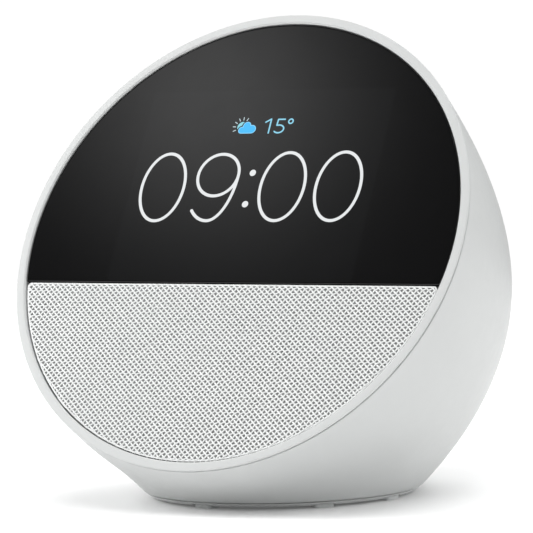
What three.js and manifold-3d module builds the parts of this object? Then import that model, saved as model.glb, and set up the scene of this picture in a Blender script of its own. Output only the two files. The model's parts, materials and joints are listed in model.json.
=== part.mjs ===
// Smart display: a ball-like case with a round, tilted front. The upper part of the front is glass over a
// display, the lower part is a cloth grille over a loudspeaker. Millimetres, +Z up, front towards -Y.
// The origin is on the table, under the middle of the case.
import * as THREE from "three";
import { mergeVertices } from "three/addons/utils/BufferGeometryUtils.js";
import Module from "manifold-3d";

const wasm = await Module();
wasm.setup();

// ---- Driving dimensions ----
const degree = Math.PI / 180;
const gap = 0.3; // between pieces that touch or slide
const ringRadius = 56.5; // outside of the front ring, half the overall width
const openingRadius = 54.35; // inside of the front ring
const faceTilt = 29.4 * degree; // how far the front leans back from upright
const faceCentre = new THREE.Vector3(0, -24.06, 59.5);
const caseDepth = 76.7; // from the front plane to the back of the case, square to the front
const depthPower = 2;
const roundPower = 2.45;
const wall = 1.8;
const seam = 0.8; // the case starts this far behind the front plane
const edgeHeight = 1.6; // lower edge of the case above the table
const edgeRadius = 31.7;
const edgeCentreY = 17.9; // measured from the face centre
const foldAngle = 22 * degree; // where the case starts to turn in to its lower edge
const dividerY = -11.4; // line between glass and cloth, on the front
const displayWidth = 63;
const displayHeight = 48;
const displayY = 15;
const speakerY = -30.5;
const speakerRadius = 21.4;
const boardY = 16;
const boardZ = -14.5;
const boardWidth = 66;
const boardHeight = 44;
const boardThickness = 1.2;
const buttonDepth = 20; // how far behind the front plane the buttons are
const buttonTilt = 40.2 * degree; // how far the buttons' axis leans back from upright
const buttonRadius = 4.6;
const buttonSpacing = 13.5;
const buttonProud = 0.6;
const microphoneX = buttonSpacing / 2;
const jackHeight = 14.5; // axis of the power inlet above the table
const jackFaceY = 59.2; // floor of the inlet's recess, from the face centre
const jackRadius = 4.1;
const recessRadius = 6.5;
const footAngles = [-7, 47, 84, 168, 250]; // degrees from the front, towards the right
const screwAngles = [65, 150, 270];

// ---- Frames: everything below is measured from the face centre ----
const model = new THREE.Group();
model.position.copy(faceCentre);
const front = new THREE.Group(); // x to the right, y up the front, z out of the front
front.rotation.x = Math.PI / 2 - faceTilt;
front.updateMatrix();
const buttonFrame = new THREE.Group(); // z out of the case along the buttons' axis
buttonFrame.rotation.x = -buttonTilt;
model.add(front, buttonFrame);
const tableZ = -faceCentre.z;
const edgeZ = tableZ + edgeHeight;

// ---- Materials ----
function finish(color, roughness, metalness = 0) {
  return new THREE.MeshStandardMaterial({ color, roughness, metalness });
}

const looks = {
  shell: finish(0xe3e6e4, 0.45),
  ring: finish(0xe8eae8, 0.4),
  glass: finish(0x0c0d0e, 0.06),
  cloth: finish(0xd3d5d4, 0.95),
  darkPlastic: finish(0x26282a, 0.6),
  rubber: finish(0x8f9492, 0.75),
  foam: finish(0x1d1e1f, 0.95),
  circuit: finish(0x1f5a3a, 0.5),
  steel: finish(0xb7babc, 0.35, 0.9),
  aluminium: finish(0xc9cccf, 0.4, 0.85),
  copper: finish(0xb87345, 0.35, 0.9),
  paper: finish(0x303234, 0.85),
  flex: finish(0xa8642a, 0.45),
};

function add(group, name, geometry, look, position = [0, 0, 0]) {
  const mesh = new THREE.Mesh(geometry, looks[look]);
  mesh.name = name;
  mesh.position.set(...position);
  group.add(mesh);
  return mesh;
}

// ---- Solids ----
function toSolid(geometry) {
  const bare = geometry.clone();
  bare.deleteAttribute("normal");
  bare.deleteAttribute("uv");
  const merged = mergeVertices(bare, 1e-4);
  return new wasm.Manifold(
    new wasm.Mesh({
      numProp: 3,
      vertProperties: merged.attributes.position.array,
      triVerts: new Uint32Array(merged.index.array),
    }),
  );
}

function toGeometry(solid) {
  const mesh = solid.getMesh();
  const geometry = new THREE.BufferGeometry();
  geometry.setAttribute("position", new THREE.BufferAttribute(mesh.vertProperties, 3));
  geometry.setIndex(new THREE.BufferAttribute(mesh.triVerts, 1));
  return geometry;
}

function cut(geometry, tools) {
  return toGeometry(tools.reduce((solid, tool) => solid.subtract(toSolid(tool)), toSolid(geometry)));
}

function join(geometry, others) {
  return toGeometry(others.reduce((solid, other) => solid.add(toSolid(other)), toSolid(geometry)));
}

function common(geometry, other) {
  return toGeometry(toSolid(geometry).intersect(toSolid(other)));
}

// A solid of revolution about local z from a closed outline of [radius, z] points.
function turned(outline, sides = 24) {
  const points = outline.map(([radius, z]) => new THREE.Vector2(radius, z));
  if (outline[0][0] > 0) points.push(points[0].clone());
  const area = outline.reduce((sum, [r, z], i) => {
    const [nextR, nextZ] = outline[(i + 1) % outline.length];
    return sum + r * nextZ - nextR * z;
  }, 0);
  if (area < 0) points.reverse();
  return new THREE.LatheGeometry(points, sides).rotateX(Math.PI / 2);
}

function tube(outer, inner, low, high, sides = 24) {
  return turned([[inner, low], [outer, low], [outer, high], [inner, high]], sides);
}

function disc(radius, low, high, sides = 24) {
  return turned([[0, low], [radius, low], [radius, high], [0, high]], sides);
}

function box(width, height, low, high, x = 0, y = 0) {
  return new THREE.BoxGeometry(width, height, high - low).translate(x, y, (low + high) / 2);
}

// A flat plate from an outline in x and y.
function plate(shape, low, high, arcSteps = 12) {
  const settings = { depth: high - low, bevelEnabled: false, curveSegments: arcSteps };
  return new THREE.ExtrudeGeometry(shape, settings).translate(0, 0, low);
}

function roundedBox(width, height, radius, x = 0, y = 0) {
  const shape = new THREE.Shape();
  const [right, top] = [width / 2 - radius, height / 2 - radius];
  shape.absarc(x + right, y + top, radius, 0, Math.PI / 2);
  shape.absarc(x - right, y + top, radius, Math.PI / 2, Math.PI);
  shape.absarc(x - right, y - top, radius, Math.PI, 1.5 * Math.PI);
  shape.absarc(x + right, y - top, radius, 1.5 * Math.PI, 2 * Math.PI);
  return shape;
}

function circle(radius, x = 0, y = 0, sides = 32) {
  const points = [];
  for (let side = 0; side < sides; side++) {
    const angle = (2 * Math.PI * side) / sides;
    points.push(new THREE.Vector2(x + radius * Math.cos(angle), y + radius * Math.sin(angle)));
  }
  return new THREE.Shape(points);
}

// The same solid in the front's or the buttons' frame, measured from the face centre.
function inFrame(group, geometry) {
  group.updateMatrix();
  return geometry.clone().applyMatrix4(group.matrix);
}

function aroundY(geometry) {
  return geometry.rotateX(-Math.PI / 2);
}

// ---- The case's outer surface ----
// Across the front it is round; towards the back it closes like a slightly squared ball whose middle
// sinks a little. Loops fan out from the line where the front plane meets the plane of the lower edge.
const fanAngle = Math.PI / 2 - faceTilt;
const fanY = edgeZ * Math.tan(faceTilt);

// How far the middle of a cross-section lies above the front's own middle, at a depth behind the front.
function sectionMiddle(depth) {
  return depth * (0.00224 * depth - 0.1184);
}

function isInside(point, inset) {
  const depth = Math.max(0, point.y * Math.cos(faceTilt) - point.z * Math.sin(faceTilt));
  const height = point.y * Math.sin(faceTilt) + point.z * Math.cos(faceTilt);
  const radius = Math.hypot(point.x, height - sectionMiddle(depth));
  const across = (radius / (ringRadius - 0.1 - inset)) ** roundPower;
  return across + (depth / (caseDepth - inset)) ** depthPower < 1;
}

function fanPoint(turn, share, inset) {
  const angle = (1 - share) * fanAngle;
  const along = new THREE.Vector3(0, Math.cos(angle), Math.sin(angle));
  const middle = (1 - share) * Math.hypot(fanY, edgeZ) + share * (edgeCentreY - fanY);
  const reach = (distance) =>
    new THREE.Vector3(distance * Math.cos(turn), fanY, edgeZ)
      .addScaledVector(along, middle + distance * Math.sin(turn));
  let [near, far] = [0, 3 * ringRadius];
  for (let step = 0; step < 30; step++) {
    const half = (near + far) / 2;
    if (isInside(reach(half), inset)) near = half;
    else far = half;
  }
  return reach(near);
}

function casePoint(turn, share, inset) {
  const foldShare = 1 - foldAngle / fanAngle;
  if (share <= foldShare) return fanPoint(turn, share, inset);
  const start = fanPoint(turn, foldShare, inset);
  const onward = start.clone().sub(fanPoint(turn, foldShare - 0.001, inset)).normalize();
  const radius = edgeRadius - inset;
  const end = new THREE.Vector3(
    radius * Math.cos(turn), edgeCentreY + radius * Math.sin(turn), edgeZ);
  const corner = start.clone().addScaledVector(onward, start.distanceTo(end) / 2);
  const curve = new THREE.QuadraticBezierCurve3(start, corner, end);
  return curve.getPoint((share - foldShare) / (1 - foldShare));
}

// A closed solid of the case's shape, run out past the front and the lower edge by `extra`.
function caseSolid(inset, extra, sides = 48, rows = 11) {
  const loops = [];
  const outward = new THREE.Vector3(0, -Math.cos(faceTilt), Math.sin(faceTilt));
  const down = new THREE.Vector3(0, 0, -1);
  for (let row = 0; row <= rows; row++) {
    const loop = [];
    for (let side = 0; side < sides; side++) {
      loop.push(casePoint((2 * Math.PI * side) / sides, row / rows, inset));
    }
    loops.push(loop);
  }
  if (extra > 0) {
    loops.unshift(loops[0].map((point) => point.clone().addScaledVector(outward, extra)));
    loops.push(loops.at(-1).map((point) => point.clone().addScaledVector(down, extra)));
  }
  return loftSolid(loops);
}

function loftSolid(loops) {
  const sides = loops[0].length;
  const mean = (loop) => loop.reduce((sum, p) => sum.add(p), new THREE.Vector3()).divideScalar(sides);
  const points = [...loops.flat(), mean(loops[0]), mean(loops.at(-1))];
  const [first, last] = [points.length - 2, points.length - 1];
  const index = [];
  for (let side = 0; side < sides; side++) {
    const next = (side + 1) % sides;
    for (let row = 0; row + 1 < loops.length; row++) {
      const [a, b] = [row * sides + side, row * sides + next];
      index.push(a, a + sides, b, b, a + sides, b + sides);
    }
    const end = (loops.length - 1) * sides;
    index.push(first, side, next, last, end + next, end + side);
  }
  const geometry = new THREE.BufferGeometry().setFromPoints(points);
  geometry.setIndex(index);
  return geometry;
}

// ---- Front ring and glass ----
function bezelRing() {
  return turned([
    [openingRadius + 0.3, 0], [ringRadius - 0.15, 0], [ringRadius, -0.15], [ringRadius, -seam + gap],
    [54.95, -seam + gap], [54.95, -4.2], [51, -4.2], [51, -3], [openingRadius, -3], [openingRadius, -0.3],
  ], 64);
}

// The part of a round plate above (side 1) or below (side -1) the divider.
function segmentShape(radius, edge, side) {
  const start = Math.asin(edge / radius);
  const shape = new THREE.Shape();
  if (side > 0) shape.absarc(0, 0, radius, start, Math.PI - start);
  else shape.absarc(0, 0, radius, Math.PI - start, 2 * Math.PI + start);
  return shape;
}

function coverGlass() {
  return plate(segmentShape(openingRadius - 0.25, dividerY + 0.15, 1), -1.4, -0.3, 48);
}

function glassGasket() {
  const shape = segmentShape(openingRadius - 0.6, dividerY + 0.8, 1);
  shape.holes.push(segmentShape(openingRadius - 3, dividerY + 1.8, 1));
  return plate(shape, -2.7, -1.7, 24);
}

function displayWindow(margin) {
  return roundedBox(displayWidth + margin, displayHeight + margin, 1, 0, displayY);
}

// A flat ribbon from the back of the backlight that bends onto the front of the main board.
function displayFlex() {
  const [y, bend, thickness] = [-5.3, 2, 0.25];
  const boardFace = boardZ + boardThickness / 2 + gap;
  const outline = new THREE.Shape();
  outline.moveTo(y + thickness, -6.2);
  outline.lineTo(y, -6.2);
  outline.absarc(y + bend, boardFace + bend, bend, Math.PI, 1.5 * Math.PI);
  outline.lineTo(y + 6, boardFace);
  outline.lineTo(y + 6, boardFace + thickness);
  outline.absarc(y + bend, boardFace + bend, bend - thickness, 1.5 * Math.PI, Math.PI, true);
  return plate(outline, -7, 7, 4).applyMatrix4(
    new THREE.Matrix4().makeBasis(
      new THREE.Vector3(0, 1, 0), new THREE.Vector3(0, 0, 1), new THREE.Vector3(1, 0, 0)));
}

// ---- Cloth grille ----
function grilleCloth() {
  const radius = openingRadius - 0.35;
  const edge = dividerY - 0.2;
  const corner = 1.6;
  const reach = Math.sqrt((radius - corner) ** 2 - (edge - corner) ** 2);
  const lean = Math.atan2(edge - corner, reach);
  const shape = new THREE.Shape();
  shape.absarc(0, 0, radius, Math.PI - lean, 2 * Math.PI + lean);
  shape.absarc(reach, edge - corner, corner, lean, Math.PI / 2);
  shape.absarc(-reach, edge - corner, corner, Math.PI / 2, Math.PI - lean);
  return plate(shape, -1.1, -0.35, 24);
}

function grillePlate() {
  const blank = plate(segmentShape(openingRadius - 0.6, dividerY - 0.5, -1), -2.7, -1.4, 24);
  const slots = [];
  for (let row = 0; row < 5; row++) {
    for (let column = -3; column <= 3; column++) {
      const [x, y] = [column * 9.6, -17 - row * 6];
      if (Math.hypot(Math.abs(x) + 4, y - 2) < 48) slots.push(box(7.2, 3.2, -3, -1, x, y));
    }
  }
  return cut(blank, slots);
}

// ---- Inner frame, its screws and the main board ----
function frameScrewPlace(angle) {
  return [51 * Math.cos(angle * degree), 51 * Math.sin(angle * degree)];
}

const frameScrewAngles = [90, 205, 335];
const boardScrewPlaces = [[-29, boardY - 18], [29, boardY - 18], [0, boardY + 18]];

function frontFrame() {
  const outline = circle(52.8, 0, 0, 60);
  outline.holes.push(displayWindow(0.8), circle(18.8, 0, speakerY));
  for (const angle of frameScrewAngles) outline.holes.push(circle(1.1, ...frameScrewPlace(angle), 12));
  const deck = plate(outline, -6.3, -4.6, 10);
  const posts = boardScrewPlaces.map(([x, y]) => boardPost(x, y));
  const bores = boardScrewPlaces.map(([x, y]) => disc(0.95, -15, -9, 12).translate(x, y, 0));
  return cut(join(deck, posts), bores);
}

// A post for the main board, behind the display window, on a short arm from the window's edge.
function boardPost(x, y) {
  const post = disc(2.4, boardZ + boardThickness / 2 + gap, -6.2, 16).translate(x, y, 0);
  const arm = y > boardY ? box(5, 12, -9, -6.2, x, y + 6) : box(12, 5, -9, -6.2, x * 1.2, y);
  return join(post, [arm]);
}

function screw(length, shank, head) {
  return turned([[0, 0], [head, 0], [head, 1], [shank, 1.1], [shank, length], [0, length + 0.5]], 12);
}

function heatSpreader() {
  const outline = new THREE.Shape();
  const [width, fins, pitch] = [40, 7, 6];
  outline.moveTo(-width / 2, 0);
  outline.lineTo(width / 2, 0);
  for (let fin = fins - 1; fin >= 0; fin--) {
    const x = (fin - (fins - 1) / 2) * pitch;
    outline.lineTo(x + 0.6, -1.5);
    outline.lineTo(x + 0.5, -5.5);
    outline.lineTo(x - 0.5, -5.5);
    outline.lineTo(x - 0.6, -1.5);
  }
  outline.lineTo(-width / 2, -1.5);
  return plate(outline, -15, 15, 2).rotateX(Math.PI / 2);
}

// ---- Loudspeaker, turned about its own axis ----
function speakerBasket() {
  return turned([
    [18.2, -7.3], [speakerRadius, -7.3], [speakerRadius, -8.5], [18.9, -8.5], [14.6, -14.6],
    [11.6, -14.6], [11.6, -13.5], [14, -13.5],
  ]);
}

function speakerParts() {
  return {
    speaker_gasket: [tube(speakerRadius, 19, -7, -6.6), "foam"],
    speaker_basket: [speakerBasket(), "darkPlastic"],
    speaker_surround: [turned([
      [15.6, -7.2], [16.6, -6.3], [17.9, -7.2], [17.9, -7.6], [16.6, -6.7], [15.6, -7.6],
    ]), "rubber"],
    speaker_cone: [turned([[7.1, -10.4], [15.3, -7.6], [15.3, -7.2], [7.1, -10]]), "paper"],
    speaker_dust_cap: [turned([
      [0, -7.6], [2.6, -8], [4.8, -9], [6.6, -10.6], [6, -10.7], [4.5, -9.4], [2.4, -8.5], [0, -8.1],
    ], 24), "paper"],
    speaker_spider: [tube(11.3, 7.4, -13.2, -12.8), "flex"],
    speaker_coil: [tube(7.1, 6.7, -17.5, -11, 24), "copper"],
    speaker_magnet: [disc(6.1, -18.6, -14.9, 24), "steel"],
    speaker_pole: [disc(6.1, -14.6, -13, 24), "steel"],
    speaker_yoke: [turned([
      [0, -20.4], [11, -20.4], [11, -14.9], [7.6, -14.9], [7.6, -18.9], [0, -18.9],
    ], 24), "steel"],
  };
}

function acousticChamber() {
  return turned([
    [0, -26], [14.6, -26], [18.9, -17.2], [23.2, -9], [23.2, -6.6], [21.9, -6.6], [21.9, -8.9],
    [17.7, -17], [13.6, -24.6], [0, -24.6],
  ]);
}

// ---- Buttons, switches and microphones in the buttons' frame ----
// The middle of the case's top, at a depth behind the front plane.
function topPoint(depth) {
  const share = 1 - (depth / caseDepth) ** depthPower;
  const height = sectionMiddle(depth) + (ringRadius - 0.1) * share ** (1 / roundPower);
  return new THREE.Vector3(
    0,
    depth * Math.cos(faceTilt) + height * Math.sin(faceTilt),
    height * Math.cos(faceTilt) - depth * Math.sin(faceTilt));
}

const buttons = [
  ["volume_down", -buttonSpacing],
  ["microphone_off", 0],
  ["volume_up", buttonSpacing],
];
const buttonBoardZ = -8.5;
const switchTop = buttonBoardZ + 2.9;

function buttonCap(x) {
  const blank = join(disc(buttonRadius, -4, 5, 28), [disc(1.5, switchTop + 1.1, -3.9, 12)]);
  return common(inFrame(buttonFrame, blank.translate(x, 0, 0)), caseSolid(-buttonProud, 4));
}

function tactSwitch() {
  return cut(box(6, 6, buttonBoardZ + gap, switchTop), [disc(2, switchTop - 1.5, switchTop + 1, 16)]);
}

// One rubber strip with a channel from each microphone to its hole in the case.
function microphoneSeal() {
  const low = buttonBoardZ + 1.6;
  const blocks = [-1, 1].map((side) => disc(1.9, low, -2.6, 12).translate(side * microphoneX, 0, 0));
  const channels = [-1, 1].map((side) => disc(0.6, low - 1, 0, 12).translate(side * microphoneX, 0, 0));
  const strip = box(2 * microphoneX, 1.2, low, low + 1.2, 0, -4);
  const ties = [-1, 1].map((side) => box(1.6, 5, low, low + 1.2, side * microphoneX, -2.1));
  return cut(join(strip, [...blocks, ...ties]), channels);
}

// ---- Case ----
function backAxis(geometry, height) {
  return aroundY(geometry).translate(0, 0, height + tableZ);
}

function bossPlace(angle) {
  const radius = 24.2;
  return [radius * Math.sin(angle * degree), edgeCentreY - radius * Math.cos(angle * degree)];
}

function rearShell() {
  const outer = caseSolid(0, 0);
  const jackBoss = backAxis(disc(9, jackFaceY - 1.8, jackFaceY + 12, 28), jackHeight);
  const bosses = screwAngles.map((angle) =>
    disc(3, edgeZ + 1.8, edgeZ + 12, 16).translate(...bossPlace(angle), 0));
  const ribs = screwAngles.map((angle) =>
    box(1.6, 12, edgeZ + 1.8, edgeZ + 11).translate(0, -29, 0)
      .rotateZ(angle * degree).translate(0, edgeCentreY, 0));
  const inner = caseSolid(wall, 6);
  const hollow = cut(outer, [inner]);
  const inside = [jackBoss, ...bosses, ...ribs].map((piece) => common(piece, caseSolid(0.4, 0)));
  const faceTrim = inFrame(front, disc(80, -seam, 30, 24));
  const rebate = inFrame(front, disc(55.25, -5, 10, 72));
  const recess = backAxis(disc(recessRadius, jackFaceY, jackFaceY + 20, 28), jackHeight);
  const mouth = backAxis(disc(jackRadius + gap, jackFaceY - 6, jackFaceY + 1, 28), jackHeight);
  const bossBores = screwAngles.map((angle) =>
    disc(0.95, edgeZ + 1, edgeZ + 9, 12).translate(...bossPlace(angle), 0));
  const buttonHoles = buttons.map(([, x]) =>
    inFrame(buttonFrame, disc(buttonRadius + gap, -6, 8, 28).translate(x, 0, 0)));
  const microphoneHoles = [-1, 1].map((side) =>
    inFrame(buttonFrame, disc(0.6, -6, 6, 12).translate(side * microphoneX, 0, 0)));
  return cut(join(hollow, inside), [
    faceTrim, rebate, recess, mouth, ...bossBores, ...buttonHoles, ...microphoneHoles,
  ]);
}

// ---- Base ----
function basePlate() {
  const [low, lip, top] = [tableZ + 0.6, tableZ + edgeHeight - gap, edgeZ + 1.5];
  const plateSolid = turned([
    [0, low], [30.4, low], [31.1, lip], [edgeRadius - wall - gap, lip], [edgeRadius - wall - gap, top], [0, top],
  ], 48).translate(0, edgeCentreY, 0);
  const holes = screwAngles.map((angle) => join(
    disc(1.3, low - 1, top + 1, 12), [disc(2.4, low - 1, low + 1.4, 12)],
  ).translate(...bossPlace(angle), 0));
  const pockets = footAngles.map((angle) => footBlock(angle, gap, low + 0.7));
  return cut(plateSolid, [...holes, ...pockets]);
}

// A pad under the rim of the base, turned to its place round the base.
function footBlock(angle, margin, high) {
  const [width, length] = [4.6, 4.2];
  const bottom = margin > 0 ? tableZ - 1 : tableZ;
  return box(width + 2 * margin, length + 2 * margin, bottom, high, 0, -28.3)
    .rotateZ(angle * degree).translate(0, edgeCentreY, 0);
}

function powerJack() {
  const back = jackFaceY - 15;
  const body = join(box(9.6, 9.6, back, jackFaceY - 6.6), [disc(jackRadius, back, jackFaceY - 0.4, 28)]);
  return cut(body, [disc(3.15, jackFaceY - 11, jackFaceY + 1), disc(1.1, back - 1, jackFaceY - 10, 12)]);
}

// ---- Leads ----
function lead(points, radius, steps) {
  const path = new THREE.CatmullRomCurve3(points.map((point) => new THREE.Vector3(...point)));
  return new THREE.ExtrudeGeometry(circle(radius, 0, 0, 8), { steps, extrudePath: path });
}

// From the inlet, round the heat spreader, to the back of the main board.
function powerLead() {
  return lead([
    [0, jackFaceY - 15.8, jackHeight + tableZ], [-4, 37, -43], [-17, 31, -31], [-26, 24, -15],
    [-26.2, 17.4, -9.8], [-26.2, 13.9, -7.8],
  ], 1.3, 14);
}

// From the acoustic chamber to the lower edge of the main board, in the front's frame.
function speakerLead() {
  return lead([[10, -15, -20.4], [10, -9, -21], [10, -3.5, -19.5], [10, -2, -15.6]], 0.7, 10);
}

// ---- Assembly ----
function buildFront() {
  add(front, "bezel_ring", bezelRing(), "ring");
  add(front, "cover_glass", coverGlass(), "glass");
  add(front, "glass_gasket", glassGasket(), "foam");
  add(front, "display_panel", plate(displayWindow(0), -3.5, -1.7, 3), "glass");
  add(front, "display_backlight", plate(displayWindow(-0.6), -5.9, -3.8, 3), "steel");
  add(front, "display_flex", displayFlex(), "flex");
  add(front, "grille_cloth", grilleCloth(), "cloth");
  add(front, "grille_plate", grillePlate(), "darkPlastic");
  add(front, "front_frame", frontFrame(), "darkPlastic");
  frameScrewAngles.forEach((angle, i) => {
    const [x, y] = frameScrewPlace(angle);
    add(front, `frame_screw_${i + 1}`, screw(2, 0.8, 1.6), "steel", [x, y, -7.7]);
  });
  for (const [name, [geometry, look]] of Object.entries(speakerParts())) {
    add(front, name, geometry, look, [0, speakerY, 0]);
  }
  add(front, "acoustic_chamber", acousticChamber(), "darkPlastic", [0, speakerY, 0]);
  add(front, "speaker_lead", speakerLead(), "rubber");
}

function buildBoard() {
  const [low, high] = [boardZ - boardThickness / 2, boardZ + boardThickness / 2];
  const holes = boardScrewPlaces.map(([x, y]) => disc(1.2, low - 1, high + 1, 12).translate(x, y, 0));
  const board = plate(roundedBox(boardWidth, boardHeight, 3, 0, boardY), low, high, 3);
  add(front, "main_board", cut(board, holes), "circuit");
  add(front, "processor_shield", box(22, 22, low - 2.7, low - gap, -10, boardY + 2), "steel");
  add(front, "wireless_shield", box(15, 14, low - 2.3, low - gap, 18, boardY + 8), "steel");
  add(front, "heat_spreader", heatSpreader(), "aluminium", [-4, boardY + 2, low - 3]);
  boardScrewPlaces.forEach(([x, y], i) => {
    add(front, `board_screw_${i + 1}`, screw(5, 0.7, 1.9), "steel", [x, y, low - 1.4]);
  });
  for (const [side, name] of [[-1, "left"], [1, "right"]]) {
    add(front, `antenna_${name}`, box(6, 24, -7.6, -6.8, side * 46.5, 0), "circuit");
  }
}

function buildButtons() {
  for (const [name, x] of buttons) {
    add(model, `button_${name}`, buttonCap(x), "ring");
    add(buttonFrame, `switch_${name}`, tactSwitch(), "darkPlastic", [x, 0, 0]);
    add(buttonFrame, `plunger_${name}`, disc(1.6, switchTop - 0.8, switchTop + 0.8, 16), "rubber", [x, 0, 0]);
  }
  const board = plate(roundedBox(38, 11, 2), buttonBoardZ - 1.2, buttonBoardZ, 3);
  add(buttonFrame, "button_board", board, "circuit");
  add(buttonFrame, "microphone_seal", microphoneSeal(), "rubber");
  for (const [side, name] of [[-1, "left"], [1, "right"]]) {
    const can = box(3.5, 2.6, buttonBoardZ + gap, buttonBoardZ + 1.3, side * microphoneX);
    add(buttonFrame, `microphone_${name}`, can, "steel");
  }
}

function buildBase() {
  add(model, "base_plate", basePlate(), "ring");
  const ballastLow = edgeZ + 1.8;
  add(model, "ballast_weight", disc(19, ballastLow, ballastLow + 3.4, 40), "steel", [0, edgeCentreY, 0]);
  screwAngles.forEach((angle, i) => {
    const place = [...bossPlace(angle), tableZ + 0.8];
    add(model, `base_screw_${i + 1}`, screw(7, 0.7, 2.1), "steel", place);
  });
  footAngles.forEach((angle, i) => {
    add(model, `foot_${i + 1}`, footBlock(angle, 0, tableZ + 1), "rubber");
  });
}

function buildCase() {
  add(model, "rear_shell", rearShell(), "shell");
  add(model, "power_jack", backAxis(powerJack(), jackHeight), "darkPlastic");
  const pin = disc(0.8, jackFaceY - 14, jackFaceY - 4.8, 12);
  add(model, "power_jack_pin", backAxis(pin, jackHeight), "steel");
  add(model, "power_lead", powerLead(), "rubber");
}

buttonFrame.position.copy(topPoint(buttonDepth));
buildFront();
buildBoard();
buildButtons();
buildBase();
buildCase();

export default model;
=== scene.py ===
"""Smart display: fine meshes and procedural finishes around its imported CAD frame.

Metres, +Z up, the front towards -Y. Shapes are written in millimetres, in the frame of the whole case,
of its tilted front or of its buttons, and are scaled when a mesh is made.
"""

import json
import math

import bmesh
import bpy
import numpy as np
from mathutils import Matrix, Vector


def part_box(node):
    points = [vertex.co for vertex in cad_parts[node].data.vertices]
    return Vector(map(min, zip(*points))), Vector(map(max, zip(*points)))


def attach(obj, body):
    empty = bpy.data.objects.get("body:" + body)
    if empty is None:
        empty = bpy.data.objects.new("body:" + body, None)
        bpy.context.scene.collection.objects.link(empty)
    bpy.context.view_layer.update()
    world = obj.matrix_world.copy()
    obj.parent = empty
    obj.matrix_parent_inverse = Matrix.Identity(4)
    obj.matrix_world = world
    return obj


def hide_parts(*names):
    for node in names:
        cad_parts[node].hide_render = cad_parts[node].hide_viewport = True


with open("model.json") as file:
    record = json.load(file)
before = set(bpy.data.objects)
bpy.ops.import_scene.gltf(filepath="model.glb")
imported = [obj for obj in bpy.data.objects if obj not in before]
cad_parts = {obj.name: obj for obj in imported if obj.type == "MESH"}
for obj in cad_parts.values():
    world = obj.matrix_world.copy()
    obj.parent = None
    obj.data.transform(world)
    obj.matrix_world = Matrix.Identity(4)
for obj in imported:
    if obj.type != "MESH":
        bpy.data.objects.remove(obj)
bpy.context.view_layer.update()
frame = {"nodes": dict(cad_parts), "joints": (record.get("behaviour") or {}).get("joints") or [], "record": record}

# ---- Driving dimensions, in millimetres ----
MM = 0.001
GAP = 0.3  # between pieces that touch or slide
CASE_DEPTH = 76.7  # from the front plane to the back
DEPTH_POWER = 2.0  # on the case's surface (depth / CASE_DEPTH) ** DEPTH_POWER
ROUND_POWER = 2.45  # and (radius / RING_RADIUS) ** ROUND_POWER add up to 1
MIDDLE_DROP = 0.1184  # how fast the case's middle sinks behind the front
MIDDLE_CURVE = 0.00224  # and how fast that levels out
WALL = 1.8
SEAM = 0.86  # the case starts this far behind the front plane
EDGE_HEIGHT = 1.6  # lower edge of the case above the table
EDGE_RADIUS = 31.7
EDGE_CENTRE_Y = 17.9  # from the middle of the front
FOLD_ANGLE = math.radians(22)  # the last part of the surface, which bends in to the lower edge
OPENING_RADIUS = 54.35  # inside of the front ring
RING_LIP = 0.42  # thickness of the part of the ring that covers the case's rim
REBATE_RADIUS = 55.25  # the widened mouth of the case, which holds the ring
REBATE_DEPTH = 5.0
DIVIDER_Y = -11.4  # line between glass and cloth, on the front
BUTTON_DEPTH = 20.0  # behind the front plane
BUTTON_RADIUS = 4.6
BUTTON_PROUD = 0.6  # over the case
BUTTON_SPACING = 13.5
BUTTON_HEIGHT = 4.5  # of a cap, below the case's surface
BUTTON_EDGE = 0.5
MICROPHONE_RADIUS = 0.6
JACK_HEIGHT = 14.5  # above the table
JACK_FACE_Y = 59.2  # floor of the power inlet's recess, from the middle of the front
JACK_RADIUS = 4.1
JACK_BORE = 3.15
RECESS_RADIUS = 6.5
BASE_LOW = 0.6  # underside of the base plate above the table
BASE_LIP_GAP = 0.12  # between its lip and the case
BASE_PLUG_HEIGHT = 1.5  # how far it reaches into the case
FOOT_ANGLES = (-7, 47, 84, 168, 250)  # from the front towards the right, in degrees
FOOT_RADIUS = 28.3
SCREW_ANGLES = (65, 150, 270)
SCREW_RADIUS = 24.2
ROUND_SIDES = 256  # facets round the case and the ring

# ---- The frames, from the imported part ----
joints = {joint["name"]: joint for joint in frame["joints"]}
front_axis = Vector(joints["cone_travel"]["axis"])
button_axis = -Vector(joints["press_microphone_off"]["axis"])
FACE_TILT = math.atan2(front_axis.z, -front_axis.y)
COS_TILT, SIN_TILT = math.cos(FACE_TILT), math.sin(FACE_TILT)
ring_low, ring_high = (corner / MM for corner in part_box("bezel_ring"))
RING_RADIUS = (ring_high.x - ring_low.x) / 2
RING_EDGE = 0.15  # rounding of the CAD ring's outer edge
FACE_CENTRE = Vector((
    0,
    ring_low.y + (RING_RADIUS - RING_EDGE) * SIN_TILT,
    ring_high.z - RING_RADIUS * COS_TILT + RING_EDGE * SIN_TILT,
))
TABLE_Z = -FACE_CENTRE.z
EDGE_Z = TABLE_Z + EDGE_HEIGHT
FAN_ANGLE = math.pi / 2 - FACE_TILT  # between the front plane and the plane of the lower edge
FAN_Y = EDGE_Z * math.tan(FACE_TILT)  # where those planes meet
CASE_FRAME = Matrix.Translation(FACE_CENTRE * MM)
FRONT_FRAME = CASE_FRAME @ Matrix.Rotation(math.pi / 2 - FACE_TILT, 4, "X")
BASE_FRAME = Matrix.Translation(Vector((0, FACE_CENTRE.y + EDGE_CENTRE_Y, 0)) * MM)


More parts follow.
